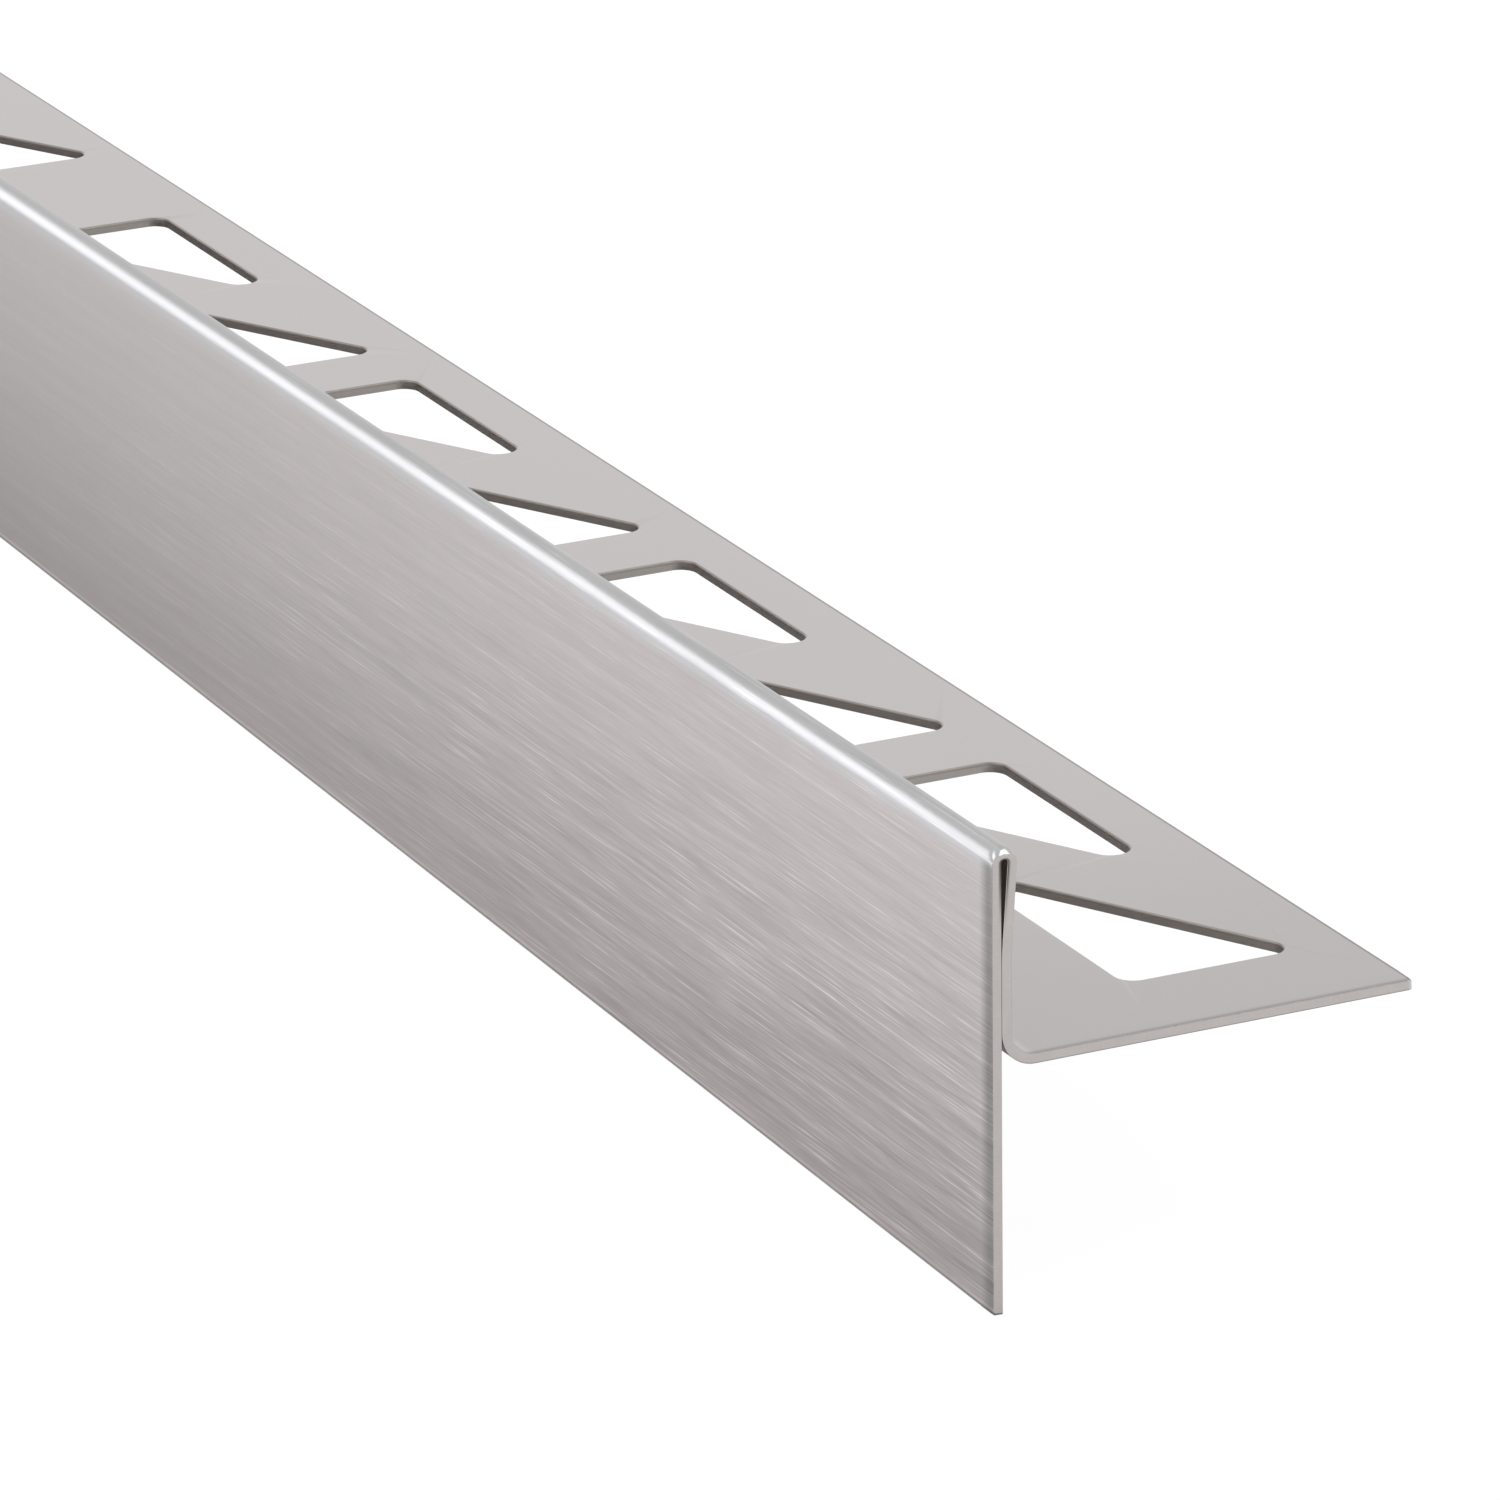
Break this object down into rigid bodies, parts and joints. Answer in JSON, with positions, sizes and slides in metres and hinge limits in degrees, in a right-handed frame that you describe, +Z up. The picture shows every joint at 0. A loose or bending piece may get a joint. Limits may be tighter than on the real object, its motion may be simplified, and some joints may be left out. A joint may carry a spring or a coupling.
{
  "type": "tapered tile edge profile",
  "caption": "Folded stainless steel strip that covers the growing step beside a sloped shower floor: punched anchoring leg, folded hem and a brushed front leg cut to a fall.",
  "frame": {"origin": "middle of the bounding box's base, on the level surface that the front leg's lower edge stands on", "axes": "+X along the profile towards its deep end, +Y from the front face towards the anchoring leg's outer edge, +Z up"},
  "size_m": [0.9004, 0.0256, 0.0266],
  "materials": {
    "brushed_stainless": "front leg and hem satin brushed along their length, anchoring leg plain rolled"
  },
  "bodies": {
    "root": {"wedge_profile": "brushed_stainless"}
  },
  "joints": []
}
